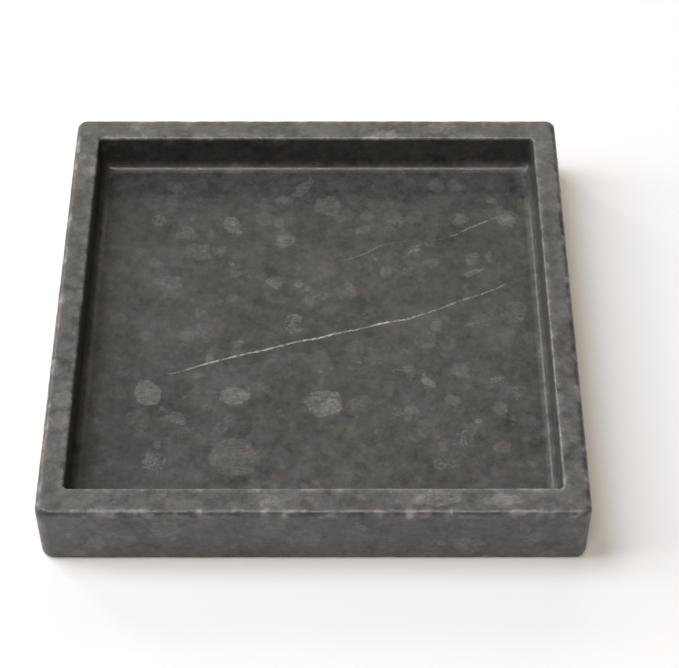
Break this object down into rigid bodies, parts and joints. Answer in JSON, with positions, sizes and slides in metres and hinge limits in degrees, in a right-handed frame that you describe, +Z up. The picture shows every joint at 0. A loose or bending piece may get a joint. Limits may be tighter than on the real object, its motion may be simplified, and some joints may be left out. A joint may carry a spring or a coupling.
{
  "type": "gongfu tea tray",
  "caption": "Square stone tea tray with a flat shallow basin inside a plain low rim, standing on four thin pads set into its underside.",
  "frame": {"origin": "middle of the tray's footprint, on the surface that its pads stand on", "axes": "+Z up, +Y towards the back of the tray and +X to its right, as the picture shows it"},
  "size_m": [0.2, 0.2, 0.0296],
  "materials": {
    "stone": "honed, dark grey fossil limestone with paler flecks and patches",
    "silicone": "matt black silicone",
    "adhesive": "cloudy acrylic adhesive film"
  },
  "bodies": {
    "root": {"tray_body": "stone", "pad_front_left": "silicone", "pad_front_right": "silicone", "pad_back_left": "silicone", "pad_back_right": "silicone", "adhesive_front_left": "adhesive", "adhesive_front_right": "adhesive", "adhesive_back_left": "adhesive", "adhesive_back_right": "adhesive"}
  },
  "joints": []
}
